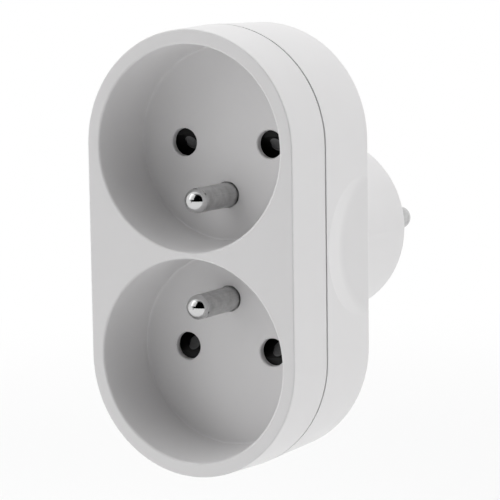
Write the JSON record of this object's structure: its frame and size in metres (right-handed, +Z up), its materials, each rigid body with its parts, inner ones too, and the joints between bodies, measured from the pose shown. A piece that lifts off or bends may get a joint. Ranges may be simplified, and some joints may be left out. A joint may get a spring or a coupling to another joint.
{
  "type": "multi socket adapter",
  "caption": "Plug-in mains adapter: a flat-sided oval case with round earthed sockets one above the other at the front and an earthed plug with round pins at the back.",
  "frame": {"origin": "centre of the plug's flat face, where its pins emerge", "axes": "+Y into the wall, along the plug pins; +Z up, along the case's long side; +X across it; the sockets face -Y"},
  "size_m": [0.0456, 0.076, 0.0864],
  "materials": {
    "white_plastic": "fine satin moulded surface",
    "ivory_plastic": "plain moulded surface",
    "black_plastic": "plain moulded surface",
    "nickel_plate": "turned and nickel plated",
    "brass": "stamped sheet",
    "steel": "zinc plated"
  },
  "bodies": {
    "housing": {"front_shell": "white_plastic", "rear_shell": "white_plastic", "contact_cover": "ivory_plastic", "case_screws": "steel", "upper_shutter_retainer": "ivory_plastic", "lower_shutter_retainer": "ivory_plastic", "upper_shutter_spring": "steel", "lower_shutter_spring": "steel", "upper_earth_pin": "nickel_plate", "lower_earth_pin": "nickel_plate", "upper_live_contact": "brass", "upper_neutral_contact": "brass", "lower_live_contact": "brass", "lower_neutral_contact": "brass", "live_busbar": "brass", "neutral_busbar": "brass", "live_plug_pin": "nickel_plate", "neutral_plug_pin": "nickel_plate", "earth_strip": "brass", "plug_earth_contact": "brass", "contact_clamp_rings": "steel"},
    "upper_shutter": {"upper_shutter": "black_plastic"},
    "lower_shutter": {"lower_shutter": "black_plastic"}
  },
  "joints": [
    {"name": "upper_shutter_slide", "type": "slide", "parent": "housing", "child": "upper_shutter", "axis": [0, 0, 1], "range_m": [0, 0.0062], "stiffness_N_per_m": 80, "springref_m": -0.004, "deforming": ["upper_shutter_spring"]},
    {"name": "lower_shutter_slide", "type": "slide", "parent": "housing", "child": "lower_shutter", "axis": [0, 0, -1], "range_m": [0, 0.0062], "stiffness_N_per_m": 80, "springref_m": -0.004, "deforming": ["lower_shutter_spring"]}
  ]
}
